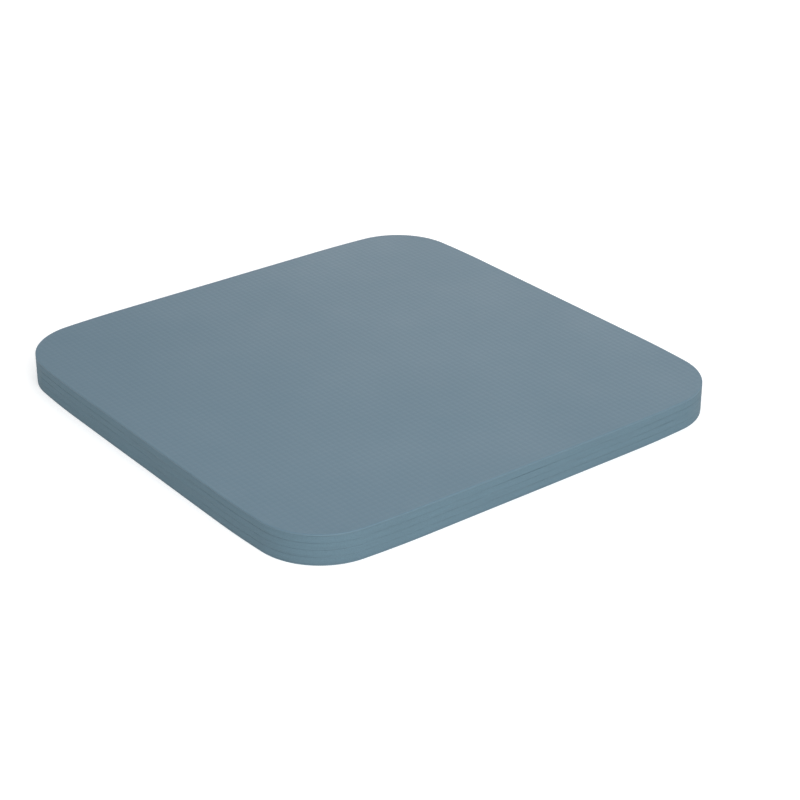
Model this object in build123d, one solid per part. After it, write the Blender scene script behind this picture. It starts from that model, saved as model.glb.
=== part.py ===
from build123d import *

import os

# Balance pad: a square slab of closed-cell foam with rounded corners, built up from bonded layers.
# Millimetres, +Z up. The origin is the middle of the face that the pad stands on, and its sides
# run along X and Y.

# Plan outline. Each side is straight in its middle, eases in on a gentle shoulder arc, and turns
# the corner on a tighter arc.
side = 500.0
corner_radius = 66.0
shoulder_radius = 1000.0
shoulder_angle = 3.84  # degrees that each shoulder arc turns

# Layers
sheet_count = 4
sheet_thickness = 6.5  # one sheet of the foam core
top_skin_thickness = 1.5  # embossed cover sheet that is stood on
base_skin_thickness = 1.5  # grip sheet that lies on the floor
film_thickness = 0.2  # hot-melt film between two layers

# Edges
top_edge_radius = 0.7
base_edge_radius = 0.7
film_setback = 0.15  # how far a film's edge stands behind the cut edge of the foam


def straight_half():
    """Half the length of a side's straight middle, where both corner arcs meet on the diagonal."""
    turn = Vector(1, 0).rotate(Axis.Z, shoulder_angle)
    corner_reach = (shoulder_radius - corner_radius) * (turn.X - turn.Y)
    return side / 2 - shoulder_radius + corner_reach


def outline(inset=0.0):
    """The pad's outline as a face, or the same outline moved in by inset all round."""
    half = side / 2 - inset
    shoulder = shoulder_radius - inset
    corner = corner_radius - inset
    straight = straight_half()
    turn = Vector(1, 0).rotate(Axis.Z, shoulder_angle)
    corner_centre = half - shoulder + (shoulder - corner) * turn.X

    # One side with the corner after it, anticlockwise
    quarter = [
        Line((half, -straight), (half, straight)),
        CenterArc((half - shoulder, straight), shoulder, 0, shoulder_angle),
        CenterArc((corner_centre, corner_centre), corner, shoulder_angle, 90 - 2 * shoulder_angle),
        CenterArc((straight, half - shoulder), shoulder, 90 - shoulder_angle, shoulder_angle),
    ]
    edges = [edge.rotate(Axis.Z, 90 * turns) for turns in range(4) for edge in quarter]
    return make_face(Wire(edges))


def layer(bottom, thickness, inset=0.0):
    """A flat layer of the pad, from the height of its underside up."""
    return Pos(0, 0, bottom) * extrude(outline(inset), thickness)


def base_skin():
    """Grip sheet, with the edge rounded where it meets the floor."""
    skin = layer(0, base_skin_thickness)
    return fillet(skin.edges().group_by(Axis.Z)[0], base_edge_radius)


def top_skin(bottom):
    """Cover sheet, with the edge rounded round the standing surface."""
    skin = layer(bottom, top_skin_thickness)
    return fillet(skin.edges().group_by(Axis.Z)[-1], top_edge_radius)


def foam_sheet(bottom):
    """One sheet of the core, cut square at its edge."""
    return layer(bottom, sheet_thickness)


def bond_film(bottom):
    """Hot-melt film, drawn back a little from the cut edge."""
    return layer(bottom, film_thickness, film_setback)


def stack():
    """Every layer from the floor up, as node name and solid."""
    layers = {"base_skin": base_skin()}
    height = base_skin_thickness
    for number in range(1, sheet_count + 1):
        layers[f"bond_film_{number}"] = bond_film(height)
        height += film_thickness
        layers[f"foam_sheet_{number}"] = foam_sheet(height)
        height += sheet_thickness
    layers[f"bond_film_{sheet_count + 1}"] = bond_film(height)
    height += film_thickness
    layers["top_skin"] = top_skin(height)
    return layers


os.makedirs("parts", exist_ok=True)
for node, solid in stack().items():
    export_step(solid, f"parts/{node}.step")
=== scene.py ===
"""Looks of the balance pad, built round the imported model. Metres, in the model's own frame."""

import math

import bmesh
import bpy
import numpy as np
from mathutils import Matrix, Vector, noise


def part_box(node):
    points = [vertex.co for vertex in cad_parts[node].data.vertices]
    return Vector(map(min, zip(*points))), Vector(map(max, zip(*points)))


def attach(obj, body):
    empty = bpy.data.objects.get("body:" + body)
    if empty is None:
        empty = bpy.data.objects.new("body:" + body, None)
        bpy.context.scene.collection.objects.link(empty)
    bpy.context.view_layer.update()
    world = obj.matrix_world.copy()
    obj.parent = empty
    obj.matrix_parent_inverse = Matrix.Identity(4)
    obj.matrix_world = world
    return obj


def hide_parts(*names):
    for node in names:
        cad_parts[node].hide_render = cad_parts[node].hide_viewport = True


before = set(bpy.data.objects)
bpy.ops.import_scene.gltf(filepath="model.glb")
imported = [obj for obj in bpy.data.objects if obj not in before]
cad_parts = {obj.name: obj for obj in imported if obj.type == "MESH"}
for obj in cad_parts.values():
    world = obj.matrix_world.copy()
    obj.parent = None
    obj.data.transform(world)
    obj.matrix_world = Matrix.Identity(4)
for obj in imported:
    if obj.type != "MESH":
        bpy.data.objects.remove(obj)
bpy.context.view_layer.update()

MM = 0.001

# ---------------------------------------------------------------------------------------------
# Sizes. The heights and the side come from the frame, and the corner arcs repeat the design's.
# ---------------------------------------------------------------------------------------------

SHEETS = sorted(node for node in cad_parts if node.startswith("foam_sheet"))
FILMS = sorted(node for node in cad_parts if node.startswith("bond_film"))

HALF_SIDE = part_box("foam_sheet_1")[1].x
CORNER_RADIUS = 66 * MM
SHOULDER_RADIUS = 1000 * MM
SHOULDER_ANGLE = math.radians(3.84)
EDGE_RADIUS = 0.7 * MM  # on the outer edge of both skins
FILM_SETBACK = HALF_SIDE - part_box(FILMS[0])[1].x

# Standing surface: square pillows between shallow grooves, pressed in with a heated roller
EMBOSS_PITCH = 6.0 * MM
GROOVE_DEPTH = 0.10 * MM
GROOVE_HALF_WIDTH = 1.3 * MM

# Grip surface: ribs between grooves that wander from side to side
GRIP_PITCH = 8.0 * MM
GRIP_DEPTH = 0.45 * MM
GRIP_HALF_WIDTH = 1.3 * MM
GRIP_SWING = 4.0 * MM
GRIP_WAVELENGTH = 32.0 * MM

# Where both patterns end
PATTERN_FADE = 2.5 * MM  # they run out over this width inside the rounded edge
RIM = 1.0 * MM  # plain margin between their grid and the rounded edge

# Cut edges
WAVINESS = 0.12 * MM  # slow wander of the cut
KNIFE_MARKS = 0.07 * MM  # long streaks that the knife leaves
CROWN = 0.06 * MM  # the foam stands out between two bond lines
FILM_WANDER = 0.14 * MM  # a film's edge swells and draws back where it cooled unevenly
FILM_BULGE = 0.25  # how far a film's edge bulges, as a share of its thickness

# The lip where the foam draws back at a bond line
LIP_DEPTH = 0.13 * MM
LIP_HEIGHT = 0.16 * MM
LIP_USUAL = 0.55  # share of its depth that it has on average
LIP_SPREAD = 0.9  # how far that share may swing along the edge
LIP_LEAST = 0.1

# Mesh density, in segments or rows
STRAIGHT_SEGMENTS = 80  # along a side's straight middle
SHOULDER_SEGMENTS = 22
CORNER_SEGMENTS = 48
EDGE_STEPS = 6  # round the rounded edge
WALL_ROWS = 26  # up the cut edge of a foam sheet
GRIP_SAMPLES = 12  # along each wavelength of the grip grooves

CREASE_ANGLE = math.radians(50)  # edges sharper than this are drawn sharp


# ---------------------------------------------------------------------------------------------
# Outline
# ---------------------------------------------------------------------------------------------

def straight_half():
    """Half the length of a side's straight middle."""
    reach = math.cos(SHOULDER_ANGLE) - math.sin(SHOULDER_ANGLE)
    return HALF_SIDE - SHOULDER_RADIUS + (SHOULDER_RADIUS - CORNER_RADIUS) * reach


STRAIGHT = straight_half()
SHOULDER_CENTRE = HALF_SIDE - SHOULDER_RADIUS
CORNER_CENTRE = SHOULDER_CENTRE + (SHOULDER_RADIUS - CORNER_RADIUS) * math.cos(SHOULDER_ANGLE)


def arc(centre, radius, start, end, segments):
    """Points and outward directions along an arc, without its last point."""
    for step in range(segments):
        angle = start + (end - start) * step / segments
        out = Vector((math.cos(angle), math.sin(angle)))
        yield Vector(centre) + radius * out, out


def quarter_outline():
    """The side that faces +X and the corner after it, anticlockwise: points and outward directions."""
    right_angle = math.pi / 2
    for step in range(STRAIGHT_SEGMENTS):
        along = -STRAIGHT + 2 * STRAIGHT * step / STRAIGHT_SEGMENTS
        yield Vector((HALF_SIDE, along)), Vector((1, 0))
    yield from arc((SHOULDER_CENTRE, STRAIGHT), SHOULDER_RADIUS,
                   0, SHOULDER_ANGLE, SHOULDER_SEGMENTS)
    yield from arc((CORNER_CENTRE, CORNER_CENTRE), CORNER_RADIUS,
                   SHOULDER_ANGLE, right_angle - SHOULDER_ANGLE, CORNER_SEGMENTS)
    yield from arc((STRAIGHT, SHOULDER_CENTRE), SHOULDER_RADIUS,
                   right_angle - SHOULDER_ANGLE, right_angle, SHOULDER_SEGMENTS)


def whole_outline():
    """The pad's outline, anticlockwise, as points and outward directions."""
    points, outs = [], []
    for turns in range(4):
        for point, out in quarter_outline():
            for _ in range(turns):
                point, out = point.orthogonal(), out.orthogonal()
            points.append(point)
            outs.append(out)
    return points, outs


OUTLINE, OUTWARD = whole_outline()


def inset_of(x, y):
    """How far inside the outline the points lie."""
    along = np.minimum(np.abs(x), np.abs(y))
    across = np.maximum(np.abs(x), np.abs(y))
    beyond = along - STRAIGHT
    from_shoulder = np.hypot(across - SHOULDER_CENTRE, beyond)
    turned = np.arctan2(beyond, across - SHOULDER_CENTRE)
    from_corner = np.hypot(across - CORNER_CENTRE, along - CORNER_CENTRE)
    inset = np.where(turned <= SHOULDER_ANGLE, SHOULDER_RADIUS - from_shoulder,
                     CORNER_RADIUS - from_corner)
    return np.where(beyond <= 0, HALF_SIDE - across, inset)


# ---------------------------------------------------------------------------------------------
# Mesh building
# ---------------------------------------------------------------------------------------------

# What a vertex says about itself, from 0 to 1: how worn it is, how much the knife has opened the
# skin there, how deeply it is pressed in, and how close it lies to a bond line
# pressed also darkens the skins in their grooves: painted shade
TRAITS = ("worn", "cut", "pressed", "seam")


def new_bmesh():
    """A bmesh whose vertices have the traits, at 0 until they are set."""
    bm = bmesh.new()
    for name in TRAITS:
        bm.verts.layers.float.new(name)
    return bm


def add_ring(bm, inset, height, wander, **traits):
    """One turn of vertices round the pad. wander(point, height) moves them outwards."""
    ring = []
    for point, out in zip(OUTLINE, OUTWARD):
        at = point + (wander(point, height) - inset) * out
        vertex = bm.verts.new((at.x, at.y, height))
        for name, value in traits.items():
            vertex[bm.verts.layers.float[name]] = value
        ring.append(vertex)
    return ring


def bridge(bm, rings):
    """Bands of faces from each ring up to the next, facing out."""
    for lower, upper in zip(rings, rings[1:]):
        for here in range(len(lower)):
            after = (here + 1) % len(lower)
            bm.faces.new((lower[here], lower[after], upper[after], upper[here]))


def finish_mesh(name, bm):
    """The bmesh as a smooth-shaded object, with creases kept sharp."""
    bm.normal_update()
    mesh = bpy.data.meshes.new(name)
    bm.to_mesh(mesh)
    bm.free()
    mesh.shade_smooth()
    mesh.set_sharp_from_angle(angle=CREASE_ANGLE)
    piece = bpy.data.objects.new(name, mesh)
    bpy.context.scene.collection.objects.link(piece)
    return piece


# ---------------------------------------------------------------------------------------------
# Patterns pressed into the skins
# ---------------------------------------------------------------------------------------------

def grid_lines(pitch, offsets):
    """Where a pattern's mesh lines lie, to both sides of the middle: offsets within each pitch."""
    reach = math.ceil(HALF_SIDE / pitch) + 1
    return np.array([turn * pitch + offset for turn in range(-reach, reach) for offset in offsets])


def groove(across, pitch, half_width):
    """How deep the points lie in grooves one pitch apart: 1 on a groove's middle line, 0 outside."""
    from_middle = np.abs((across + pitch / 2) % pitch - pitch / 2)
    return np.clip(1 - from_middle / half_width, 0, 1)


def emboss():
    """Grid and relief of the standing surface: pillows between two sets of grooves."""
    lines = grid_lines(EMBOSS_PITCH, (-GROOVE_HALF_WIDTH, 0, GROOVE_HALF_WIDTH))
    x, y = np.meshgrid(lines, lines, indexing="ij")
    depth = np.maximum(groove(x, EMBOSS_PITCH, GROOVE_HALF_WIDTH),
                       groove(y, EMBOSS_PITCH, GROOVE_HALF_WIDTH))
    return x, y, -GROOVE_DEPTH * depth


def grip():
    """Grid and relief of the grip surface, whose mesh lines follow the wandering grooves."""
    along = grid_lines(GRIP_WAVELENGTH, np.arange(GRIP_SAMPLES) * GRIP_WAVELENGTH / GRIP_SAMPLES)
    across = grid_lines(GRIP_PITCH, (-GRIP_HALF_WIDTH, -GRIP_HALF_WIDTH / 2, 0, GRIP_HALF_WIDTH / 2,
                                     GRIP_HALF_WIDTH, GRIP_PITCH / 2))
    x, y = np.meshgrid(along, across, indexing="ij")
    depth = groove(y, GRIP_PITCH, GRIP_HALF_WIDTH)
    return x, y + GRIP_SWING * np.sin(2 * np.pi * x / GRIP_WAVELENGTH), GRIP_DEPTH * depth


def grid_mesh(bm, x, y, height):
    """The part of a grid that lies inside the rim, as a flat mesh: its vertices by grid place."""
    inside = inset_of(x, y) >= EDGE_RADIUS + RIM
    cells = inside[:-1, :-1] & inside[1:, :-1] & inside[:-1, 1:] & inside[1:, 1:]
    used = np.zeros_like(inside)
    for i, j in ((0, 0), (1, 0), (0, 1), (1, 1)):
        used[i:i + cells.shape[0], j:j + cells.shape[1]] |= cells
    grid = {(i, j): bm.verts.new((x[i, j], y[i, j], height)) for i, j in np.argwhere(used)}
    for i, j in np.argwhere(cells):
        bm.faces.new((grid[i, j], grid[i + 1, j], grid[i + 1, j + 1], grid[i, j + 1]))
    return grid


def fill_rim(bm, ring, grid_verts):
    """Fills between a ring and the grid inside it with triangles, and gives them back."""
    edges = [bm.edges.get((here, after)) for here, after in zip(ring, ring[1:] + ring[:1])]
    edges += [e for e in bm.edges if e.is_boundary and e.verts[0] in grid_verts]
    before = set(bm.faces)
    bmesh.ops.triangle_fill(bm, edges=edges, use_beauty=True, normal=(0, 0, 1))
    return {face for face in bm.faces if face not in before}


def patterned_face(bm, ring, x, y, height, relief, up):
    """Closes a ring with a face that carries a pattern: a grid inside, filled out to the ring.

    x, y and relief are the grid's places and its heights above or below the plain face."""
    grid = grid_mesh(bm, x, y, height)
    grid_verts = set(grid.values())
    rim_faces = fill_rim(bm, ring, grid_verts)

    # The relief comes after the filling, which needs a flat face
    fade = np.clip((inset_of(x, y) - EDGE_RADIUS) / PATTERN_FADE, 0, 1)
    relief = relief * fade * fade * (3 - 2 * fade)
    # How deep each vertex lies, which the skin material turns into painted shade in the grooves
    pressed = np.abs(relief) / np.abs(relief).max()
    pressed_layer = bm.verts.layers.float["pressed"]
    for place, vertex in grid.items():
        vertex.co.z = height + relief[place]
        vertex[pressed_layer] = pressed[place]

    for face in {f for v in grid_verts for f in v.link_faces} | rim_faces:
        face.normal_update()
        if (face.normal.z > 0) != up:
            face.normal_flip()


# ---------------------------------------------------------------------------------------------
# How the edges look
# ---------------------------------------------------------------------------------------------

def wave(point, height, along, up, seed):
    """Smooth noise on the cut edge, in features per metre along the edge and up it."""
    return noise.noise(Vector((point.x * along, point.y * along, height * up + seed)))


def cut_wander(low, high, seed):
    """A function that says how far a layer's cut edge stands off the outline."""
    middle = (low + high) / 2

    def wander(point, height):
        return WAVINESS * wave(point, middle, along=14, up=90, seed=seed)
    return wander


def bond_closeness(low, high, height):
    """How close a height is to a sheet's bond lines: 1 on them, fading out past the lip."""
    from_bond = min(height - low, high - height)
    return math.exp(-(from_bond / LIP_HEIGHT) ** 2)


def foam_wander(low, high, seed):
    """The same for soft foam, with knife marks, a crown, and a lip at each bond line."""
    slow = cut_wander(low, high, seed)

    def wander(point, height):
        share = (height - low) / (high - low)
        marks = KNIFE_MARKS * wave(point, height, along=16, up=520, seed=seed)
        nearest_bond = round(share) * (high - low)
        lip_share = LIP_USUAL + LIP_SPREAD * wave(point, nearest_bond, along=28, up=1000, seed=seed)
        lip = LIP_DEPTH * min(max(lip_share, LIP_LEAST), 1.0) * bond_closeness(low, high, height)
        return slow(point, height) + marks + CROWN * math.sin(math.pi * share) - lip
    return wander


def film_wander(seed):
    """The same for a hot-melt film."""
    def wander(point, height):
        return FILM_WANDER * wave(point, height, along=90, up=0, seed=seed)
    return wander


def rounded_rings(bm, flat_height, towards_wall, wander):
    """Rings round a skin's rounded edge, from its wall to its flat face, more worn in the middle.

    towards_wall is -1 where the wall lies below the flat face, and 1 where it lies above."""
    rings = []
    for step in range(1, EDGE_STEPS + 1):
        angle = math.pi / 2 * step / EDGE_STEPS
        inset = EDGE_RADIUS * (1 - math.cos(angle))
        from_flat = 1 - math.sin(angle)
        height = flat_height + towards_wall * EDGE_RADIUS * from_flat
        rings.append(add_ring(bm, inset, height, wander, worn=math.sin(math.pi * from_flat),
                              cut=from_flat))
    return rings


# ---------------------------------------------------------------------------------------------
# Pieces
# ---------------------------------------------------------------------------------------------

def make_top_skin():
    """Cover sheet: embossed above, rounded round its upper edge."""
    low, high = (corner.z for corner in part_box("top_skin"))
    wander = cut_wander(low, high, seed=40.0)
    bm = new_bmesh()
    rings = [add_ring(bm, 0, height, wander, cut=1.0) for height in (low, high - EDGE_RADIUS)]
    rings += rounded_rings(bm, high, -1, wander)
    bridge(bm, rings)
    bm.faces.new(reversed(rings[0]))
    x, y, relief = emboss()
    patterned_face(bm, rings[-1], x, y, high, relief, up=True)
    return finish_mesh("top_skin_embossed", bm)


def make_base_skin():
    """Grip sheet: ribbed below, rounded round its lower edge."""
    low, high = (corner.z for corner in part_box("base_skin"))
    wander = cut_wander(low, high, seed=50.0)
    bm = new_bmesh()
    rings = rounded_rings(bm, low, 1, wander)
    rings.reverse()
    rings += [add_ring(bm, 0, height, wander, cut=1.0) for height in (low + EDGE_RADIUS, high)]
    bridge(bm, rings)
    bm.faces.new(rings[-1])
    x, y, relief = grip()
    patterned_face(bm, rings[0], x, y, low, relief, up=False)
    return finish_mesh("base_skin_ribbed", bm)


def make_foam_sheet(node, seed):
    """One sheet of the core, with its knife-cut edge. Its rows lie closest at the bond lines."""
    low, high = (corner.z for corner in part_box(node))
    wander = foam_wander(low, high, seed)
    bm = new_bmesh()
    rings = []
    for row in range(WALL_ROWS + 1):
        share = 0.5 - 0.5 * math.cos(math.pi * row / WALL_ROWS)
        height = low + share * (high - low)
        rings.append(add_ring(bm, 0, height, wander, seam=bond_closeness(low, high, height)))
    bridge(bm, rings)
    bm.faces.new(reversed(rings[0]))
    bm.faces.new(rings[-1])
    return finish_mesh(f"{node}_cut", bm)


def make_bond_film(node, seed):
    """Hot-melt film, with a slightly bulging edge."""
    low, high = (corner.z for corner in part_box(node))
    middle = (low + high) / 2
    bulge = FILM_BULGE * (high - low)
    profile = ((FILM_SETBACK, low), (FILM_SETBACK - bulge, middle), (FILM_SETBACK, high))
    bm = new_bmesh()
    rings = [add_ring(bm, inset, height, film_wander(seed)) for inset, height in profile]
    bridge(bm, rings)
    bm.faces.new(reversed(rings[0]))
    bm.faces.new(rings[-1])
    return finish_mesh(f"{node}_edge", bm)


# ---------------------------------------------------------------------------------------------
# Materials
# ---------------------------------------------------------------------------------------------

SKIN_COLOUR = (0.1025, 0.1745, 0.2275)
FOAM_COLOUR = (0.090, 0.149, 0.185)
BASE_COLOUR = (0.087, 0.146, 0.184)
FILM_COLOUR = (0.075, 0.126, 0.160)

NOISE_RANGE = (0.3, 0.7)  # where most of a noise's values lie
NOISE_MIDDLE = (0.35, 0.65)  # narrower, for clearer patches


class Nodes:
    """Short calls for building one material's node tree."""

    def __init__(self, name, specular=0.5):
        self.material = bpy.data.materials.new(name)
        self.material.use_nodes = True
        self.tree = self.material.node_tree
        self.shader = self.tree.nodes["Principled BSDF"]
        self.shader.inputs["Specular IOR Level"].default_value = specular
        self.place = self.add("ShaderNodeTexCoord").outputs["Object"]

    def add(self, kind, **settings):
        node = self.tree.nodes.new(kind)
        for name, value in settings.items():
            setattr(node, name, value)
        return node

    def link(self, source, target):
        self.tree.links.new(source, target)

    def trait(self, name):
        """One of the vertices' traits, from 0 to 1."""
        return self.add("ShaderNodeAttribute", attribute_name=name).outputs["Fac"]

    def noise(self, scale, detail=2.0, roughness=0.5, stretch=(1, 1, 1), seed=0.0):
        """Noise over the pad, scale in features per metre, stretched along each axis."""
        mapping = self.add("ShaderNodeMapping")
        mapping.inputs["Scale"].default_value = stretch
        mapping.inputs["Location"].default_value = (seed, seed, seed)
        self.link(self.place, mapping.inputs["Vector"])
        texture = self.add("ShaderNodeTexNoise")
        texture.inputs["Scale"].default_value = scale
        texture.inputs["Detail"].default_value = detail
        texture.inputs["Roughness"].default_value = roughness
        self.link(mapping.outputs["Vector"], texture.inputs["Vector"])
        return texture.outputs["Fac"]

    def cells(self, scale):
        """Distance to the nearest foam cell's middle, scale in cells per metre."""
        texture = self.add("ShaderNodeTexVoronoi")
        texture.inputs["Scale"].default_value = scale
        self.link(self.place, texture.inputs["Vector"])
        return texture.outputs["Distance"]

    def span(self, value, low, high, clip=(0.0, 1.0)):
        """value from clip[0] to clip[1], spread over low to high."""
        node = self.add("ShaderNodeMapRange")
        for socket, number in zip(("From Min", "From Max", "To Min", "To Max"), (*clip, low, high)):
            node.inputs[socket].default_value = number
        self.link(value, node.inputs["Value"])
        return node.outputs["Result"]

    def mix(self, share, first, second):
        """Colour between first and second, each a colour or an output."""
        node = self.add("ShaderNodeMix", data_type="RGBA")
        self.link(share, node.inputs["Factor"])
        colour_sockets = [socket for socket in node.inputs if socket.type == "RGBA"]
        for socket, colour in zip(colour_sockets, (first, second)):
            if isinstance(colour, tuple):
                socket.default_value = (*colour, 1)
            else:
                self.link(colour, socket)
        return next(socket for socket in node.outputs if socket.type == "RGBA")

    def arithmetic(self, operation, first, second):
        """Result of an operation on two values, each a number or an output."""
        node = self.add("ShaderNodeMath", operation=operation)
        for socket, value in zip(node.inputs, (first, second)):
            if isinstance(value, float):
                socket.default_value = value
            else:
                self.link(value, socket)
        return node.outputs["Value"]

    def times(self, first, second):
        return self.arithmetic("MULTIPLY", first, second)

    def minus(self, first, second):
        return self.arithmetic("SUBTRACT", first, second)

    def bump(self, height, distance, strength, before=None):
        """Normal of a surface raised by height, on top of the bumps before it."""
        node = self.add("ShaderNodeBump")
        node.inputs["Distance"].default_value = distance
        node.inputs["Strength"].default_value = strength
        self.link(height, node.inputs["Height"])
        if before is not None:
            self.link(before, node.inputs["Normal"])
        return node.outputs["Normal"]


def shade(colour, factor):
    return tuple(channel * factor for channel in colour)


def skin_material(name, colour, roughness, grain):
    """Closed foam skin: slow mottling, pebbled grain, stray pinholes, and edges rubbed paler.

    grain is the size of the grain's pebbles. The skin's cut side has the foam's colour."""
    n = Nodes(name, specular=0.35)
    worn = n.trait("worn")
    slow = n.noise(9, detail=3)
    fine = n.noise(0.7 / grain, detail=3)
    pebbles = n.cells(1 / grain)
    pinholes = n.span(n.cells(320), 1, 0, clip=(0.05, 0.11))
    rubbed = n.noise(14, detail=4, roughness=0.6, seed=3.0)
    broken = n.noise(160, detail=3, seed=8.0)

    body = n.mix(n.span(slow, 0, 1, clip=NOISE_RANGE), shade(colour, 0.985), shade(colour, 1.015))
    body = n.mix(n.span(fine, 0, 0.5, clip=NOISE_RANGE), body, shade(colour, 1.06))
    # Pinholes darker than the skin around them: painted shade in the pits
    body = n.mix(n.span(pinholes, 0, 0.5), body, shade(colour, 0.6))
    # Darker the deeper the vertex lies in a groove: painted shade in the emboss and grip grooves
    body = n.mix(n.times(n.trait("pressed"), 0.5), body, shade(colour, 0.95))
    body = n.mix(n.trait("cut"), body, FOAM_COLOUR)
    edge = n.times(worn, n.span(broken, 0, 0.6, clip=(0.45, 0.65)))
    n.link(n.mix(edge, body, shade(colour, 1.06)), n.shader.inputs["Base Color"])

    rough = n.span(rubbed, roughness - 0.02, roughness + 0.03, clip=NOISE_RANGE)
    n.link(n.minus(rough, n.times(worn, 0.05)), n.shader.inputs["Roughness"])

    surface = n.bump(n.noise(2600, detail=3), distance=0.05 * MM, strength=0.35)
    surface = n.bump(pebbles, distance=0.04 * MM, strength=0.5, before=surface)
    surface = n.bump(pinholes, distance=-0.15 * MM, strength=0.6, before=surface)
    surface = n.bump(rubbed, distance=0.08 * MM, strength=0.3, before=surface)
    n.link(surface, n.shader.inputs["Normal"])
    return n.material


def foam_material():
    """Cut foam: closed cells sliced open, streaked along the cut, darker at the bond lines."""
    n = Nodes("cut_foam", specular=0.25)
    streaks = n.noise(26, detail=4, stretch=(1, 1, 30))
    slow = n.noise(11, detail=3, seed=5.0)
    cells = n.cells(2300)
    coarse = n.cells(700)

    body = n.mix(n.span(streaks, 0, 1, clip=NOISE_RANGE),
                 shade(FOAM_COLOUR, 0.93), shade(FOAM_COLOUR, 1.07))
    body = n.mix(n.span(slow, 0, 0.5, clip=NOISE_MIDDLE), body, shade(FOAM_COLOUR, 1.06))
    # The sliced cells' pits darker, fine and coarse: painted shade in them
    body = n.mix(n.span(cells, 0.65, 0, clip=(0.1, 0.45)), body, shade(FOAM_COLOUR, 0.66))
    body = n.mix(n.span(coarse, 0.5, 0, clip=(0.1, 0.4)), body, shade(FOAM_COLOUR, 0.80))
    seam = n.times(n.trait("seam"), n.span(slow, 0.2, 0.8, clip=NOISE_MIDDLE))
    n.link(n.mix(seam, body, shade(FOAM_COLOUR, 0.84)), n.shader.inputs["Base Color"])
    n.link(n.span(streaks, 0.66, 0.80, clip=NOISE_RANGE), n.shader.inputs["Roughness"])

    surface = n.bump(cells, distance=0.12 * MM, strength=0.8)
    surface = n.bump(coarse, distance=0.14 * MM, strength=0.4, before=surface)
    surface = n.bump(streaks, distance=0.20 * MM, strength=0.6, before=surface)
    n.link(surface, n.shader.inputs["Normal"])
    return n.material


def film_material():
    """Hot-melt film, a little glossier and darker than the foam."""
    n = Nodes("bond_film")
    patches = n.noise(120, detail=3)
    n.link(n.mix(n.span(patches, 0, 1, clip=NOISE_RANGE), shade(FILM_COLOUR, 0.9),
                 shade(FILM_COLOUR, 1.1)), n.shader.inputs["Base Color"])
    n.link(n.span(patches, 0.40, 0.55, clip=NOISE_RANGE), n.shader.inputs["Roughness"])
    surface = n.bump(patches, distance=0.05 * MM, strength=0.3)
    n.link(surface, n.shader.inputs["Normal"])
    return n.material


# ---------------------------------------------------------------------------------------------
# The pad. All its pieces ride on the one body, and all but the films are filled tight with foam.
# ---------------------------------------------------------------------------------------------

SHEET_SEED_STEP = 10.0  # puts each sheet on its own stretch of the noise
FILM_SEED_STEP = 7.0


def place_piece(piece, node, material):
    """Puts a piece in its CAD node's stead."""
    piece.data.materials.append(material)
    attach(piece, "root")
    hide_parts(node)
    return piece


foam = foam_material()
film = film_material()
top_skin = place_piece(make_top_skin(), "top_skin",
                       skin_material("embossed_skin", SKIN_COLOUR, roughness=0.55, grain=0.7 * MM))
base_skin = place_piece(make_base_skin(), "base_skin",
                        skin_material("grip_skin", BASE_COLOUR, roughness=0.66, grain=1.1 * MM))
for number, node in enumerate(SHEETS):
    sheet = place_piece(make_foam_sheet(node, number * SHEET_SEED_STEP), node, foam)
for number, node in enumerate(FILMS):
    place_piece(make_bond_film(node, number * FILM_SEED_STEP), node, film)


# ---------------------------------------------------------------------------------------------
# Floor, light and camera. Azimuth is from +X towards +Y, in degrees.
# ---------------------------------------------------------------------------------------------

FLOOR_REACH = 30.0
FLOOR_GAP = 0.02 * MM  # keeps the floor out of the pad's underside
FLOOR_GLOW = 0.39

LAMP_DISTANCE = 2.6
LAMP_WIDTH = 1.6

HORIZON_GLOW = 1.0
OVERHEAD_GLOW = 0.68
HORIZON_BAND = (0.17, 0.50)  # sines of the heights between which the one glow turns into the other

CAMERA_AZIMUTH = -37.883
CAMERA_ELEVATION = 27.202
CAMERA_DISTANCE = 1917.8 * MM
CAMERA_TARGET = Vector((37.6, 14.6, 0.0)) * MM
CAMERA_LENS = 89.77  # millimetres
SENSOR_WIDTH = 36.0  # millimetres


def make_floor():
    """Plain white table that glows a little, so that the pad's shadow stays faint."""
    bm = bmesh.new()
    corners = [(-1, -1), (1, -1), (1, 1), (-1, 1)]
    bm.faces.new([bm.verts.new((x * FLOOR_REACH, y * FLOOR_REACH, -FLOOR_GAP)) for x, y in corners])
    floor = finish_mesh("floor", bm)
    material = bpy.data.materials.new("white_table")
    material.use_nodes = True
    sockets = material.node_tree.nodes["Principled BSDF"].inputs
    sockets["Base Color"].default_value = (0.8, 0.8, 0.8, 1)
    sockets["Roughness"].default_value = 0.9
    sockets["Emission Color"].default_value = (1, 1, 1, 1)
    sockets["Emission Strength"].default_value = FLOOR_GLOW
    floor.data.materials.append(material)


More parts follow.
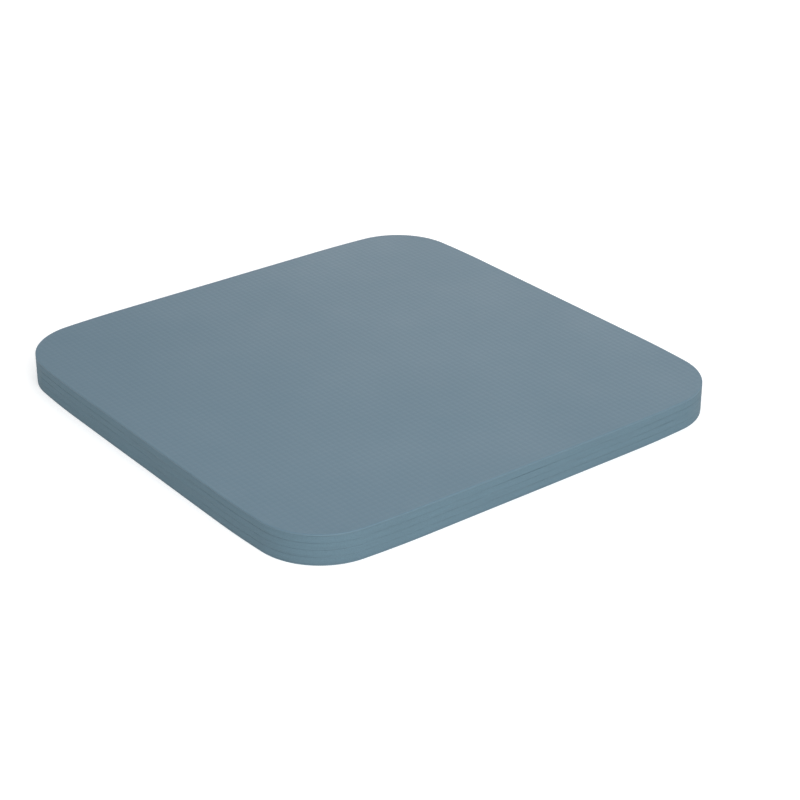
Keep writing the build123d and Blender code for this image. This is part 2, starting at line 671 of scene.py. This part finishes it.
def stand(thing, azimuth, elevation, distance, target=Vector((0, 0, 0))):
    """Puts a lamp or camera at a distance from its target, facing it."""
    a, e = math.radians(azimuth), math.radians(elevation)
    away = Vector((math.cos(a) * math.cos(e), math.sin(a) * math.cos(e), math.sin(e)))
    thing.location = target + away * distance
    thing.rotation_euler = away.to_track_quat("Z", "Y").to_euler()
    bpy.context.scene.collection.objects.link(thing)


def softbox(name, azimuth, elevation, power):
    """A square area light that faces the pad."""
    light = bpy.data.lights.new(name, "AREA")
    light.shape = "SQUARE"
    light.size = LAMP_WIDTH
    light.energy = power
    stand(bpy.data.objects.new(name, light), azimuth, elevation, LAMP_DISTANCE)


def make_sky():
    """Bright horizon that dims towards the zenith."""
    world = bpy.data.worlds.new("studio")
    bpy.context.scene.world = world
    world.use_nodes = True
    tree = world.node_tree
    background = tree.nodes["Background"]
    background.inputs["Color"].default_value = (1, 1, 1, 1)
    direction = tree.nodes.new("ShaderNodeTexCoord").outputs["Generated"]
    height = tree.nodes.new("ShaderNodeSeparateXYZ")
    tree.links.new(direction, height.inputs["Vector"])
    glow = tree.nodes.new("ShaderNodeMapRange")
    tree.links.new(height.outputs["Z"], glow.inputs["Value"])
    glow.inputs["From Min"].default_value = HORIZON_BAND[0]
    glow.inputs["From Max"].default_value = HORIZON_BAND[1]
    glow.inputs["To Min"].default_value = HORIZON_GLOW
    glow.inputs["To Max"].default_value = OVERHEAD_GLOW
    tree.links.new(glow.outputs["Result"], background.inputs["Strength"])


def make_camera():
    camera = bpy.data.objects.new("camera", bpy.data.cameras.new("camera"))
    camera.data.lens = CAMERA_LENS
    camera.data.sensor_width = SENSOR_WIDTH
    stand(camera, CAMERA_AZIMUTH, CAMERA_ELEVATION, CAMERA_DISTANCE, CAMERA_TARGET)
    bpy.context.scene.camera = camera


make_floor()
softbox("key", azimuth=-15, elevation=28, power=44)
softbox("back", azimuth=135, elevation=14, power=14)
make_sky()
make_camera()
bpy.context.scene.view_settings.view_transform = "Standard"

bpy.context.view_layer.update()
